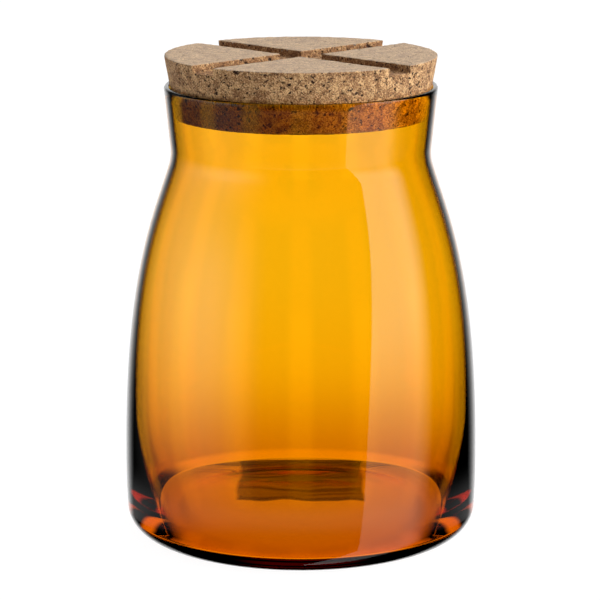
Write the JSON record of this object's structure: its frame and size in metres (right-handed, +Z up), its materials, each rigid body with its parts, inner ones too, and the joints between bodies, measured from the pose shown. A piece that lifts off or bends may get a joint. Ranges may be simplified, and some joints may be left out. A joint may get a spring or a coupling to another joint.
{
  "type": "apothecary jar",
  "caption": "Round storage jar of amber glass with a full body, drawn-in waist and flared neck, closed by a tapered cork stopper with crossed grooves in its top.",
  "frame": {"origin": "centre of the base, on the surface that the jar stands on", "axes": "+Z up along the jar's axis, out of the mouth; the lid's grooves run midway between X and Y"},
  "size_m": [0.14, 0.14, 0.1907],
  "materials": {
    "amber_glass": "clear amber glass, fire-polished",
    "cork": "sanded agglomerated cork, unsealed"
  },
  "bodies": {
    "jar": {"glass_jar": "amber_glass"},
    "lid": {"cork_lid": "cork"}
  },
  "joints": [
    {"name": "lid_lift", "type": "slide", "parent": "jar", "child": "lid", "axis": [0, 0, 1], "range_m": [0, 0.11]}
  ]
}
